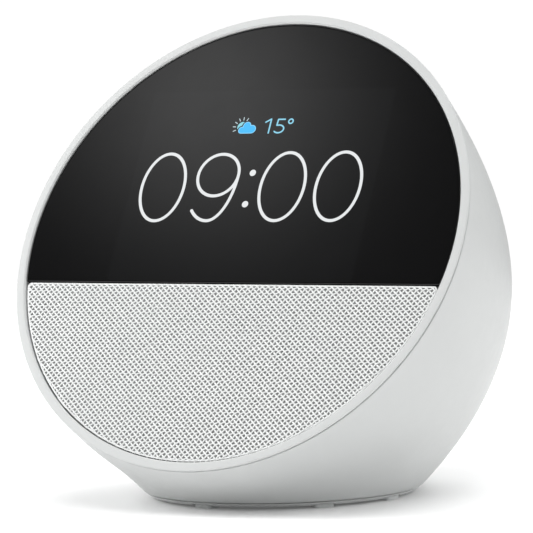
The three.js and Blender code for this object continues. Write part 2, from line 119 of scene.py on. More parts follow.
# ---- Meshes ----
def make_piece(name, parts, material, place=CASE_FRAME, smooth_angle=35):
    """One object from (points in millimetres, faces) parts, smooth but for edges over smooth_angle."""
    points, faces = [], []
    for part_points, part_faces in parts:
        offset = len(points)
        points.extend((np.asarray(part_points, float) * MM).tolist())
        faces.extend([[index + offset for index in face] for face in part_faces])
    mesh = bpy.data.meshes.new(name)
    mesh.from_pydata(points, [], faces)
    mesh.materials.append(material)
    piece = bpy.data.objects.new(name, mesh)
    bpy.context.scene.collection.objects.link(piece)
    piece.matrix_world = place
    outward(mesh)
    smooth(mesh, smooth_angle)
    return piece


def outward(mesh):
    """Turns the faces outward, by the sign of their volume."""
    form = bmesh.new()
    form.from_mesh(mesh)
    bmesh.ops.recalc_face_normals(form, faces=form.faces)
    if form.calc_volume(signed=True) < 0:
        bmesh.ops.reverse_faces(form, faces=form.faces)
    form.to_mesh(mesh)
    form.free()


def smooth(mesh, angle):
    mesh.polygons.foreach_set("use_smooth", np.ones(len(mesh.polygons), bool))
    form = bmesh.new()
    form.from_mesh(mesh)
    for edge in form.edges:
        edge.smooth = len(edge.link_faces) == 2 and edge.calc_face_angle(0) < math.radians(angle)
    form.to_mesh(mesh)
    form.free()


def combine(piece, tools, operation, smooth_angle=35):
    """Cuts the tools out of the piece, or joins them to it, and removes them."""
    for tool in tools:
        modifier = piece.modifiers.new(operation, "BOOLEAN")
        modifier.operation = operation
        modifier.solver = "MANIFOLD"
        modifier.object = tool
    bpy.context.view_layer.update()
    evaluated = piece.evaluated_get(bpy.context.evaluated_depsgraph_get())
    mesh = bpy.data.meshes.new_from_object(evaluated)
    piece.modifiers.clear()
    piece.data = mesh
    smooth(mesh, smooth_angle)
    for tool in tools:
        bpy.data.objects.remove(tool)
    return piece


def ring_faces(rows, sides, wrapped=False):
    faces = []
    for row in range(rows if wrapped else rows - 1):
        here, above = row * sides, (row + 1) % rows * sides
        for side in range(sides):
            after = (side + 1) % sides
            faces.append([here + side, here + after, above + after, above + side])
    return faces


def loft(loops, wrapped=False):
    """A closed surface through loops of equally many points, with flat ends or wrapped round."""
    loops = np.asarray(loops, float)
    rows, sides = loops.shape[:2]
    faces = ring_faces(rows, sides, wrapped)
    if not wrapped:
        faces.append(list(range(sides))[::-1])
        faces.append([(rows - 1) * sides + side for side in range(sides)])
    return loops.reshape(-1, 3), faces


def at_height(outline, height):
    """An outline in x and y as points at a height."""
    return np.column_stack([outline, np.full(len(outline), height)])


def edge_steps(radius, *angles):
    """Steps round a rounded edge: how far each lies from its side and from its top."""
    for angle in np.radians(angles):
        yield radius * (1 - math.cos(angle)), radius * (1 - math.sin(angle))


def circle(radius, height, sides, x=0.0, y=0.0):
    turn = np.linspace(0, 2 * math.pi, sides, endpoint=False)
    flat = [x + radius * np.cos(turn), y + radius * np.sin(turn), np.full(sides, float(height))]
    return np.stack(flat, -1)


def turned(outline, sides=96, wrapped=False, x=0.0, y=0.0):
    """A turned shape about z from [radius, height] points, closed at its ends unless it is wrapped."""
    return loft([circle(radius, height, sides, x, y) for radius, height in outline], wrapped)


def arc(x, y, radius, start, end, steps=6, other_radius=None):
    """Points of an arc or, with another radius along y, of an ellipse. Angles are in degrees."""
    turn = np.radians(np.linspace(start, end, steps + 1))
    tall = radius if other_radius is None else other_radius
    return np.stack([x + radius * np.cos(turn), y + tall * np.sin(turn)], -1)


def along_y(part):
    """The same part with its axis along the case's y instead of z."""
    points, faces = part
    return np.stack([points[:, 0], points[:, 2], -points[:, 1]], -1), faces


def moved(part, x=0.0, y=0.0, z=0.0):
    points, faces = part
    return points + np.array([x, y, z]), faces


def ribbon(path, width, low, high, closed=False):
    """A flat strip of a given width along a path in x and y, as a closed body between two heights."""
    path = np.asarray(path, float)
    widths = np.full(len(path), width / 2)
    if closed:
        ahead = np.roll(path, -1, 0) - np.roll(path, 1, 0)
    else:
        path, widths = with_round_ends(path, widths)
        ahead = np.gradient(path, axis=0)
    ahead /= np.linalg.norm(ahead, axis=1, keepdims=True)
    side = np.stack([-ahead[:, 1], ahead[:, 0]], -1) * widths[:, None]
    corners = [(path + side, low), (path + side, high), (path - side, high), (path - side, low)]
    return loft(np.stack([at_height(flat, height) for flat, height in corners], 1), closed)


def with_round_ends(path, widths, steps=5):
    """The path and half widths of a ribbon with a round end on either side."""
    angles = np.linspace(math.pi / 2, 0.25, steps)
    first, last = path[0] - path[1], path[-1] - path[-2]
    first, last = first / np.linalg.norm(first), last / np.linalg.norm(last)
    reach = widths[0] * np.cos(angles[1:])[:, None]
    narrow = widths[0] * np.sin(angles[1:])
    path = np.concatenate([(path[0] + reach * first)[::-1], path, path[-1] + reach * last])
    return path, np.concatenate([narrow[::-1], widths, narrow])


def flat_plate(outline, low, high):
    """A flat plate from an outline in x and y."""
    return loft([at_height(np.asarray(outline, float), height) for height in (low, high)])


# ---- The case's surface, from the middle of the front in the axes of the table ----
def section_middle(depth):
    """How far the case's middle lies over that of the front, at a depth."""
    return depth * (MIDDLE_CURVE * depth - MIDDLE_DROP)


def is_inside(point, inset):
    """Whether points are within the case's shape, made smaller all round by inset."""
    x, y, z = point
    depth = np.maximum(0, y * COS_TILT - z * SIN_TILT)
    height = y * SIN_TILT + z * COS_TILT
    radius = np.hypot(x, height - section_middle(depth))
    across = (radius / (RING_RADIUS - 0.1 - inset)) ** ROUND_POWER
    return across + (depth / (CASE_DEPTH - inset)) ** DEPTH_POWER < 1


def way_out(reach, far, inset, steps=36):
    """How far along the points reach(distance) are when they leave the case's shape."""
    near = np.zeros_like(far)
    for _ in range(steps):
        half = (near + far) / 2
        held = is_inside(reach(half), inset)
        near, far = np.where(held, half, near), np.where(held, far, half)
    return near


def fan_points(turn, share, inset):
    """Points on the surface in planes that fan out from the front plane to that of the lower edge."""
    angle = (1 - share) * FAN_ANGLE
    middle = (1 - share) * math.hypot(FAN_Y, EDGE_Z) + share * (EDGE_CENTRE_Y - FAN_Y)

    def reach(distance):
        along = middle + distance * np.sin(turn)
        return distance * np.cos(turn), FAN_Y + along * np.cos(angle), EDGE_Z + along * np.sin(angle)

    far = np.full(np.broadcast(turn, share).shape, 3 * RING_RADIUS)
    return np.stack(np.broadcast_arrays(*reach(way_out(reach, far, inset))), -1)


def case_points(turn, share, inset):
    """Points on the surface, which turns in to the lower edge along a smooth bend."""
    turn, share = np.broadcast_arrays(turn, share)
    fold = np.full(share.shape, 1 - FOLD_ANGLE / FAN_ANGLE)
    start = fan_points(turn, fold, inset)
    onward = start - fan_points(turn, fold - 0.001, inset)
    onward /= np.linalg.norm(onward, axis=-1, keepdims=True)
    radius = EDGE_RADIUS - inset
    end = np.stack([
        radius * np.cos(turn), EDGE_CENTRE_Y + radius * np.sin(turn), np.full(turn.shape, EDGE_Z)], -1)
    corner = start + onward * np.linalg.norm(end - start, axis=-1, keepdims=True) / 2
    part = np.clip((share - fold) / (1 - fold), 0, 1)[..., None]
    bend = (1 - part) ** 2 * start + 2 * part * (1 - part) * corner + part**2 * end
    return np.where((share <= fold)[..., None], fan_points(turn, share, inset), bend)


def share_where(turn, is_beyond, high=1.0):
    """The share of the fan at which points start to fulfil a condition, for each turn."""
    near, far = np.zeros(turn.shape), np.full(turn.shape, high)
    for _ in range(30):
        half = (near + far) / 2
        beyond = is_beyond(half)
        near, far = np.where(beyond, near, half), np.where(beyond, half, far)
    return far


def share_at_depth(turn, depth, inset):
    """How far round the fan the surface is at a given depth behind the front."""
    def is_deeper(share):
        points = fan_points(turn, share, inset)
        return points[..., 1] * COS_TILT - points[..., 2] * SIN_TILT > depth
    return share_where(turn, is_deeper, high=0.63)


def share_near_edge(turn, distance):
    """How far round the surface is when its lower edge is only a distance away."""
    edge = case_points(turn, np.ones(turn.shape), 0)

    def is_near(share):
        return np.linalg.norm(case_points(turn, share, 0) - edge, axis=-1) < distance
    return share_where(turn, is_near)


def on_front(radius, turn, depth):
    """Points round the middle of the front, in the case's frame."""
    up, out = radius * np.sin(turn), -depth
    return np.stack([
        radius * np.cos(turn), up * SIN_TILT - out * COS_TILT, up * COS_TILT + out * SIN_TILT], -1)


def case_rows(turn, first_share, last_share, inset, rows):
    share = first_share + (last_share - first_share) * np.linspace(0, 1, rows)[:, None]
    return case_points(np.broadcast_to(turn, share.shape), share, inset)


def shell_loops(rim=0.16, edge=0.4):
    """Loops from the front rim over the outside, round the lower edge and back up the inside."""
    turn = np.linspace(0, 2 * math.pi, ROUND_SIDES, endpoint=False)
    start, stop = share_at_depth(turn, SEAM + rim, 0), share_near_edge(turn, edge)
    outside = case_rows(turn, start, stop, 0, 96)
    inside = case_rows(turn, share_at_depth(turn, REBATE_DEPTH, WALL), 1, WALL, 40)[::-1]
    outward_axis = np.array([0, -COS_TILT, SIN_TILT])
    middle = on_front(section_middle(SEAM), np.full(turn.shape, math.pi / 2), SEAM + rim)
    radial = outside[0] - middle
    radial /= np.linalg.norm(radial, axis=1, keepdims=True)
    front_rim = [
        outside[0] - radial * rim * (1 - math.cos(angle)) + outward_axis * rim * math.sin(angle)
        for angle in np.radians((90, 60, 30))
    ]
    corner = case_points(turn, np.ones(turn.shape), 0)
    after = corner + (inside[0] - corner) * (edge / WALL)
    lower_edge = [
        (1 - part) ** 2 * outside[-1] + 2 * part * (1 - part) * corner + part**2 * after
        for part in (0.25, 0.5, 0.75, 1)
    ]
    rebate = [
        on_front(REBATE_RADIUS, turn, REBATE_DEPTH), on_front(REBATE_RADIUS, turn, SEAM + 0.15),
        on_front(REBATE_RADIUS + 0.15, turn, SEAM)]
    return [*front_rim, *outside, *lower_edge, *inside, *rebate]


# ---- Loops round an axis that can follow the case's surface ----
class Axis:
    """An axis out of the case: origin and direction in the case's frame, in millimetres."""

    def __init__(self, origin, direction, start=-12.0):
        self.origin, self.out, self.start = Vector(origin), Vector(direction).normalized(), start
        self.right = Vector((1, 0, 0))
        self.up = self.out.cross(self.right)

    def points(self, x, y, height):
        """Points in the case's frame from places across the axis and heights along it."""
        axes = (np.array(axis)[None] for axis in (self.right, self.up, self.out))
        parts = (np.broadcast_to(part, np.shape(x))[:, None] for part in (x, y, height))
        return np.array(self.origin) + sum(axis * part for axis, part in zip(axes, parts))

    def surface(self, x, y, proud=0.0):
        """Height of the case's surface, or of one that stands proud of it, over the origin's plane."""
        def reach(distance):
            return self.points(x, y, self.start + distance).T
        return self.start + way_out(reach, np.full(np.shape(x), 60.0), -proud)

    def loop(self, radius, height, sides, proud=None):
        """A round loop at a height over the origin's plane or, with proud, over the surface there."""
        turn = np.linspace(0, 2 * math.pi, sides, endpoint=False)
        x, y = radius * np.cos(turn), radius * np.sin(turn)
        level = height if proud is None else height + self.surface(x, y, proud)
        return self.points(x, y, level)

    def round_hole(self, radius, low, rounding, sides=64, floor_rounding=0.0):
        """A cutter for a round hole whose rim is rounded where it meets the case's surface.

        It ends in a dome over the surface. The surface has to lie over the hole's floor all round: at
        the foot of the power inlet's recess it doesn't, and the cutter leaves a thin skin there.
        """
        loops = [self.loop(radius - floor_rounding, low, sides)]
        if floor_rounding:
            loops += [
                self.loop(radius - inset, low + rise, sides)
                for rise, inset in edge_steps(floor_rounding, 30, 60, 90)]
        loops += [
            self.loop(radius + wider, -sunk, sides, proud=0.0)
            for wider, sunk in edge_steps(rounding, 0, 22, 45, 68)]
        loops.append(self.loop(radius + 1.3 * rounding, rounding / 2, sides, proud=0.0))
        loops += [self.loop(inner, 1, sides, proud=0.0) for inner in (radius / 2, 0.05)]
        return loft(loops)


def top_point(depth):
    """The middle of the case's top, at a depth behind the front."""
    share = 1 - (depth / CASE_DEPTH) ** DEPTH_POWER
    height = section_middle(depth) + (RING_RADIUS - 0.1) * share ** (1 / ROUND_POWER)
    return Vector((0, depth * COS_TILT + height * SIN_TILT, height * COS_TILT - depth * SIN_TILT))


def button_place(x):
    """The axis of a button or microphone hole, at x from the middle."""
    return Axis(top_point(BUTTON_DEPTH) + Vector((x, 0, 0)), button_axis)


jack_axis = Axis((0, JACK_FACE_Y, JACK_HEIGHT + TABLE_Z), (0, 1, 0), start=-2.0)


# ---- Finishes ----
def math_node(tree, operation, *values):
    """The output of a Math node; its inputs are numbers or other outputs."""
    node = tree.nodes.new("ShaderNodeMath")
    node.operation = operation
    for socket, value in zip(node.inputs, values):
        if isinstance(value, (int, float)):
            socket.default_value = value
        else:
            tree.links.new(value, socket)
    return node.outputs[0]


class Finish:
    """A Principled material whose colour, roughness and relief come from procedural nodes."""

    def __init__(self, name, color, roughness, metallic=0.0):
        self.material = bpy.data.materials.new(name)
        self.material.use_nodes = True
        self.tree = self.material.node_tree
        self.shader = self.tree.nodes["Principled BSDF"]
        self.set("Base Color", (*color, 1))
        self.set("Roughness", roughness)
        self.set("Metallic", metallic)
        self.color = color
        self.place = self.tree.nodes.new("ShaderNodeTexCoord").outputs["Object"]

    def set(self, socket, value):
        self.shader.inputs[socket].default_value = value

    def link(self, output, socket):
        self.tree.links.new(output, socket)

    def stretched(self, x, y, z):
        """Coordinates scaled along each axis."""
        node = self.tree.nodes.new("ShaderNodeVectorMath")
        node.operation = "MULTIPLY"
        node.inputs[1].default_value = (x, y, z)
        self.link(self.place, node.inputs[0])
        return node.outputs[0]

    def noise(self, size, detail=3.0, place=None):
        """Cloudy noise whose patches are about size millimetres across."""
        node = self.tree.nodes.new("ShaderNodeTexNoise")
        node.inputs["Scale"].default_value = 1 / (size * MM)
        node.inputs["Detail"].default_value = detail
        self.link(place or self.place, node.inputs["Vector"])
        return node.outputs["Fac"]

    def cells(self, size):
        """Small cells about size millimetres across, as distances from their centres."""
        node = self.tree.nodes.new("ShaderNodeTexVoronoi")
        node.inputs["Scale"].default_value = 1 / (size * MM)
        self.link(self.place, node.inputs["Vector"])
        return node.outputs["Distance"]

    def waves(self, size, direction, distortion=0.0):
        node = self.tree.nodes.new("ShaderNodeTexWave")
        node.bands_direction = direction
        node.inputs["Scale"].default_value = 0.314 / (size * MM)
        node.inputs["Distortion"].default_value = distortion
        self.link(self.place, node.inputs["Vector"])
        return node.outputs["Fac"]

    def mapped(self, value, low, high, start=0.3, end=0.7):
        """A value that runs from start to end, as one from low to high."""
        node = self.tree.nodes.new("ShaderNodeMapRange")
        for socket, number in zip(("From Min", "From Max", "To Min", "To Max"), (start, end, low, high)):
            node.inputs[socket].default_value = number
        self.link(value, node.inputs["Value"])
        return node.outputs["Result"]

    def mix(self, factor, first, second):
        """A colour between two colours; either may also be an output."""
        node = self.tree.nodes.new("ShaderNodeMix")
        node.data_type = "RGBA"
        self.link(factor, node.inputs["Factor"])
        for socket, value in zip((node.inputs[6], node.inputs[7]), (first, second)):
            if isinstance(value, tuple):
                socket.default_value = (*value, 1)
            else:
                self.link(value, socket)
        return node.outputs[2]

    def paint(self, color):
        self.link(color, self.shader.inputs["Base Color"])

    def mottle(self, factor, spread):
        """The colour varies by spread, up and down, with a factor."""
        darker = tuple(part * (1 - spread) for part in self.color)
        lighter = tuple(min(1.0, part * (1 + spread)) for part in self.color)
        self.paint(self.mix(self.mapped(factor, 0, 1), darker, lighter))

    def rough(self, factor, low, high):
        self.link(self.mapped(factor, low, high), self.shader.inputs["Roughness"])

    def relief(self, height, depth):
        """Fine relief of a depth in millimetres."""
        node = self.tree.nodes.new("ShaderNodeBump")
        node.inputs["Strength"].default_value = 1
        node.inputs["Distance"].default_value = depth * MM
        self.link(height, node.inputs["Height"])
        self.link(node.outputs["Normal"], self.shader.inputs["Normal"])


GLASS_BLACK = (0.0028, 0.0028, 0.003)


def slot_color(slot):
    """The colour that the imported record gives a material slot."""
    for entry in frame["record"]["materials"]:
        if entry["slot"] == slot:
            return tuple(entry["base_color"])
    raise ValueError(f"no material slot named {slot}")


def moulded(slot, roughness, grain=0.28, depth=0.004, color=None):
    """Satin moulded plastic with a fine spark-eroded grain and faint flow marks."""
    finish = Finish(slot, color or slot_color(slot), roughness)
    finish.mottle(finish.noise(18, 2), 0.012)
    finish.rough(finish.noise(2.5, 4), roughness - 0.04, roughness + 0.05)
    finish.relief(finish.noise(grain, 2), depth)
    return finish.material


def black_glass(name):
    """Black printed glass, polished a little unevenly."""
    finish = Finish(name, GLASS_BLACK, 0.035)
    finish.rough(finish.noise(9, 4), 0.02, 0.06)
    finish.mottle(finish.noise(30, 2), 0.1)
    finish.set("IOR", 1.52)
    return finish


def panel_light():
    """The same glass over the display, whose lit but black area is faintly grey."""
    finish = black_glass("display_panel_glow")
    finish.set("Emission Color", (0.9, 0.95, 1.0, 1))
    finish.set("Emission Strength", 0.0022)
    return finish.material


def lit(name, color, strength=1.0):
    """Part of the picture on the display: small square pixels that give light."""
    finish = Finish(name, tuple(0.05 * part for part in color), 0.05)
    finish.rough(finish.noise(9, 4), 0.03, 0.07)
    grid = math_node(finish.tree, "MULTIPLY", finish.waves(0.12, "X"), finish.waves(0.12, "Y"))
    dim = tuple(0.94 * part for part in color)
    glow = finish.mix(finish.mapped(grid, 0, 1, 0, 0.4), dim, color)
    finish.link(glow, finish.shader.inputs["Emission Color"])
    finish.set("Emission Strength", strength)
    return finish.material


def thread():
    """Spun polyester thread: fine fibres along it and small changes from thread to thread."""
    finish = Finish("cloth_thread", (0.92, 0.93, 0.925), 0.8)
    finish.mottle(finish.noise(1.1, 3), 0.03)
    finish.rough(finish.noise(0.4, 3), 0.7, 0.92)
    finish.relief(finish.noise(0.09, 2), 0.02)
    finish.set("Sheen Weight", 0.25)
    finish.set("Sheen Roughness", 0.5)
    return finish.material


def scrim():
    """The fine grey gauze behind the open weave."""
    finish = Finish("cloth_scrim", tuple(0.85 * part for part in slot_color("cloth")), 0.9)
    mesh = math_node(
        finish.tree, "MULTIPLY", finish.waves(0.34, "X", 1.5), finish.waves(0.31, "Y", 1.5))
    speckle = math_node(finish.tree, "ADD", mesh, finish.noise(0.35, 2))
    dark = tuple(0.3 * part for part in finish.color)
    finish.paint(finish.mix(finish.mapped(speckle, 0, 1, 0.35, 1.05), dark, finish.color))
    finish.relief(mesh, 0.05)
    return finish.material


def soft(slot, roughness, grain, depth, spread=0.08, color=None):
    """Rubber, foam or paper: matt, with a grain of its own size."""
    finish = Finish(slot, color or slot_color(slot), roughness)
    finish.mottle(finish.noise(6 * grain, 3), spread)
    finish.rough(finish.noise(3 * grain, 3), roughness - 0.06, min(1.0, roughness + 0.06))
    finish.relief(finish.noise(grain, 3), depth)
    return finish.material


def circuit_board():
    """Green solder mask over darker copper tracks, with small plated pads."""
    finish = Finish("circuit_board", slot_color("circuit_board"), 0.42)
    tracks = math_node(
        finish.tree, "MULTIPLY", finish.waves(1.6, "DIAGONAL", 6), finish.waves(2.3, "X", 4))
    mask = finish.mix(finish.mapped(tracks, 0, 1, 0.3, 0.4), finish.color, (0.012, 0.075, 0.035))
    pads = finish.mapped(finish.cells(2.2), 1, 0, 0.1, 0.14)
    finish.paint(finish.mix(pads, mask, (0.75, 0.6, 0.3)))
    finish.rough(finish.noise(1.5, 3), 0.36, 0.5)
    finish.relief(tracks, 0.03)
    return finish.material


def metal(slot, roughness, brushed=True):
    """Bare metal with fine drawn lines or, unbrushed, a cloudy surface."""
    finish = Finish(slot, slot_color(slot), roughness, 1.0)
    lines = finish.noise(0.25, 3, finish.stretched(0.06, 1, 1) if brushed else None)
    finish.mottle(finish.noise(4, 3), 0.06)
    finish.rough(lines, roughness - 0.08, roughness + 0.1)
    finish.relief(lines, 0.004)
    return finish.material


def make_finishes():
    return {
        "shell_plastic": moulded("shell_plastic", 0.42, color=(0.58, 0.592, 0.588)),
        "ring_plastic": moulded("ring_plastic", 0.38, 0.24, 0.003, (0.64, 0.652, 0.648)),
        "cover_glass": black_glass("cover_glass").material,
        "display": panel_light(),
        "cloth": thread(),
        "dark_plastic": moulded("dark_plastic", 0.55, 0.35, 0.01),
        "foam": soft("foam", 0.92, 0.35, 0.08, 0.2),
        "rubber": soft("rubber", 0.62, 0.15, 0.006),
        "circuit_board": circuit_board(),
        "film": moulded("film", 0.4, 0.5, 0.003),
        "cone_paper": soft("cone_paper", 0.85, 0.3, 0.03, 0.15),
        "copper": metal("copper", 0.35),
        "steel": metal("steel", 0.38),
        "aluminium": metal("aluminium", 0.42, brushed=False),
    }


finishes = make_finishes()


def finish_cad_nodes():
    """Gives the CAD's own meshes the finishes of their slots."""
    for part in frame["record"]["subparts"]:
        mesh = frame["nodes"][part["node"]].data
        mesh.materials.clear()
        mesh.materials.append(finishes[part["material_slot"]])


def settle(piece, replaced=(), body="case"):
    """The piece rides on a body and stands for CAD nodes."""
    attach(piece, body)
    if replaced:
        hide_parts(*replaced)
    return piece


# ---- Case ----
def jack_boss():
    """The thickening inside the case round the power inlet, ending within the wall."""
    loops = [
        jack_axis.loop(0.1, -WALL, 64), jack_axis.loop(9, -WALL, 64),
        *(jack_axis.loop(radius, 0, 64, proud=-0.4) for radius in (9, 6, 3, 0.1))]
    return loft(loops)


def build_case():
    plastic = finishes["shell_plastic"]
    shell = make_piece("rear_case", [loft(shell_loops(), wrapped=True)], plastic)
    combine(shell, [make_piece("boss", [jack_boss()], plastic)], "UNION")
    cutters = [
        jack_axis.round_hole(RECESS_RADIUS, 0, 0.6, floor_rounding=0.5),
        loft([jack_axis.loop(JACK_RADIUS + GAP, height, 64) for height in (-6, 1)])]
    cutters += [
        button_place(x).round_hole(BUTTON_RADIUS + GAP, -7, 0.35)
        for x in (-BUTTON_SPACING, 0, BUTTON_SPACING)]
    cutters += [
        button_place(x).round_hole(MICROPHONE_RADIUS, -7, 0.15, 24)
        for x in (-BUTTON_SPACING / 2, BUTTON_SPACING / 2)]
    tools = [make_piece(f"cutter{i}", [part], plastic) for i, part in enumerate(cutters)]
    combine(shell, tools, "DIFFERENCE")
    settle(shell, ["rear_shell"])


def build_ring():
    """A thin ring whose lip covers the case's rim, with a flange behind the glass and the cloth."""
    outer, inner, flange, collar = RING_RADIUS, OPENING_RADIUS, 51, REBATE_RADIUS - GAP
    edge, bevel, corner = 0.22, 0.3, 0.08
    seat, back = -3, -4.2
    outline = [
        *arc(outer - edge, -edge, edge, 0, 90, 5),
        *arc(inner + bevel + corner, -corner, corner, 90, 135, 3),
        *arc(inner + corner, -bevel - corner / 2, corner, 135, 180, 3),
        (inner, seat), (flange, seat), (flange, back), (collar, back), (collar, -RING_LIP),
        (outer - 0.1, -RING_LIP), (outer, 0.1 - RING_LIP)]
    band = turned(outline, ROUND_SIDES, wrapped=True)
    ring = make_piece("front_ring", [band], finishes["ring_plastic"], FRONT_FRAME, smooth_angle=20)
    settle(ring, ["bezel_ring"])


# ---- Glass and what the display shows ----
GLASS_FACE = -0.3  # over the front plane


def segment_loop(radius, edge, height, steps=220):
    """A loop round the part of a round plate above a level edge."""
    start = math.degrees(math.asin(edge / radius))
    return at_height(arc(0, 0, radius, start, 180 - start, steps), height)


def build_glass():
    radius, edge, thickness, bevel = OPENING_RADIUS - 0.25, DIVIDER_Y + 0.27, 1.1, 0.2
    loops = [segment_loop(radius, edge, GLASS_FACE - thickness)]
    loops += [
        segment_loop(radius - inset, edge + inset, GLASS_FACE - sunk)
        for inset, sunk in edge_steps(bevel, 0, 30, 60, 90)]
    loops.append(segment_loop(radius - 2 * bevel, edge + 2 * bevel, GLASS_FACE))
    pane = make_piece("cover_pane", [loft(loops)], finishes["cover_glass"], FRONT_FRAME)
    settle(pane, ["cover_glass"])


def rounded_box(width, height, radius, x=0.0, y=0.0, steps=6):
    right, top = width / 2 - radius, height / 2 - radius
    corners = ((right, top, 0), (-right, top, 90), (-right, -top, 180), (right, -top, 270))
    return np.concatenate([
        arc(x + dx, y + dy, radius, start, start + 90, steps) for dx, dy, start in corners])


DIGIT_Y = 12.7
DIGIT_STROKE = 0.74
SUN_PLACE = np.array([-5.88, 27.88])
PICTURE_LOW, PICTURE_HIGH = GLASS_FACE - 0.05, GLASS_FACE + 0.02


def picture(path, width, closed=False):
    return ribbon(path, width, PICTURE_LOW, PICTURE_HIGH, closed)


def zero(x):
    return picture(arc(x, DIGIT_Y, 5.6, 0, 354, 59, other_radius=8.5), DIGIT_STROKE, closed=True)


def nine(x):
    """A round bowl with a stem that falls from its right side into a curled tail."""
    bowl, bowl_y, bottom = 5.27, DIGIT_Y + 3.0, DIGIT_Y - 8.5
    stem = arc(x - 0.2, bowl_y, bowl + 0.2, 0, -90, 24, other_radius=bowl_y - bottom)
    tail = arc(x - 0.2, bottom + 9.5, 6.6, -90, -133, 12, other_radius=9.5)
    return [
        picture(arc(x, bowl_y, bowl, 0, 354, 59), DIGIT_STROKE, closed=True),
        picture(np.concatenate([stem, tail[1:]]), DIGIT_STROKE)]


def dot(x, y, radius):
    return flat_plate(arc(x, y, radius, 0, 345, 23), PICTURE_LOW, PICTURE_HIGH)


def clock_parts():
    colon = [dot(-0.15, DIGIT_Y + side * 3.93 - 0.45, 0.8) for side in (-1, 1)]
    return [zero(-22.9), *nine(-9.0), *colon, zero(8.3), zero(22.5)]


def temperature_parts():
    """The digits one and five, as straight and round strokes, and the degree sign."""
    one = [(0.0, 29.02), (1.28, 29.78), (1.28, 26.25)]
    five = [(4.85, 29.68), (3.12, 29.68), (3.04, 28.2), *arc(3.72, 27.25, 1.3, 105, -140, 18, 0.98)]
    stroke = 0.36
    degree = arc(6.45, 29.15, 0.56, 0, 345, 23)
    return [
        *(picture(five[i:i + 2], stroke) for i in (0, 1)), picture(five[2:], stroke),
        *(picture(one[i:i + 2], stroke) for i in (0, 1)), picture(degree, 0.34, closed=True)]


def cloud_outline(margin, steps=72):
    """The outline of three round lobes on a level foot, seen from a point inside them."""
    lobes = ((-5.88, 27.06, 0.87), (-4.69, 28.12, 1.05), (-3.28, 27.27, 1.08))
    x, y, foot = -4.5, 27.3, 26.19 - margin
    outline = []
    for turn in np.linspace(0, 2 * math.pi, steps, endpoint=False):
        way = np.array([math.cos(turn), math.sin(turn)])
        reach = 0.0
        for lobe_x, lobe_y, radius in lobes:
            across = np.array([lobe_x - x, lobe_y - y])
            along = across @ way
            spare = (radius + margin) ** 2 - across @ across + along**2
            if spare > 0:
                reach = max(reach, along + math.sqrt(spare))
        if way[1] < 0:
            level = (foot - y) / way[1]
            is_under = lobes[0][0] <= x + level * way[0] <= lobes[-1][0]
            reach = level if is_under else min(reach, level)
        outline.append((x + reach * way[0], y + reach * way[1]))
    return outline


def cloud_plate(margin, rise):
    return flat_plate(cloud_outline(margin), PICTURE_LOW, PICTURE_HIGH + rise)


def ray_parts(rays=6):
    """The sun's rays that the cloud leaves in view."""
    parts = []
    for ray in range(rays):
        turn = math.radians(63 + ray * 28.8)
        way = np.array([math.cos(turn), math.sin(turn)])
        parts.append(picture([SUN_PLACE + way * reach for reach in (1.78, 2.4)], 0.22))
    return parts


def build_picture():
    cloud_light, cloud_blue = (0.27, 0.68, 0.98), (0.055, 0.50, 0.96)
    panel = flat_plate(rounded_box(63, 48, 1, 0, 13.2), GLASS_FACE - 0.06, GLASS_FACE + 0.006)
    pieces = {
        "display_area": ([panel], finishes["display"]),
        "clock_digits": (clock_parts(), lit("digit_light", (0.80, 0.82, 0.83))),
        "temperature_digits": (temperature_parts(), lit("temperature_light", (0.27, 0.66, 0.85))),
        "cloud_shade": ([cloud_plate(0.28, 0.005)], finishes["display"]),
        "cloud_rim": ([cloud_plate(0, 0.01)], lit("rim_light", cloud_light)),
        "cloud": ([cloud_plate(-0.16, 0.015)], lit("cloud_light", cloud_blue)),
        "sun": ([dot(*SUN_PLACE, 1.3)], lit("sun_light", (0.26, 0.66, 0.74))),
        "sun_rays": (ray_parts(), lit("ray_light", (0.50, 0.62, 0.66))),
    }
    for name, (parts, material) in pieces.items():
        settle(make_piece(name, parts, material, FRONT_FRAME))


# ---- Cloth ----
CLOTH_RADIUS = OPENING_RADIUS - 0.35
CLOTH_EDGE = DIVIDER_Y + 0.03
CLOTH_CORNER = 0.9
CLOTH_LEVEL = -0.6
CLOTH_BEND = 0.45  # radius with which the threads bend down at the edge
THREAD_STEP = np.array([0.7245, 0.625])  # from one crossing to the next along a thread
THREAD_HALF_WIDTH = 0.19
THREAD_HALF_HEIGHT = 0.12
THREAD_WAVE = 0.13


def cloth_corner():
    """The centre of the rounding of the cloth's right corner."""
    across = math.sqrt((CLOTH_RADIUS - CLOTH_CORNER) ** 2 - (CLOTH_EDGE - CLOTH_CORNER) ** 2)
    return across, CLOTH_EDGE - CLOTH_CORNER


def cloth_margin(x, y):
    """How far a point is within the cloth's outline."""
    corner_x, corner_y = cloth_corner()
    margin = np.minimum(CLOTH_RADIUS - np.hypot(x, y), CLOTH_EDGE - y)
    beyond_x, beyond_y = np.abs(x) - corner_x, y - corner_y
    in_corner = (beyond_x > 0) & (beyond_y > 0) & (beyond_x > beyond_y * corner_x / corner_y)
    rounded = np.minimum(margin, CLOTH_CORNER - np.hypot(beyond_x, beyond_y))
    return np.where(in_corner, rounded, margin)


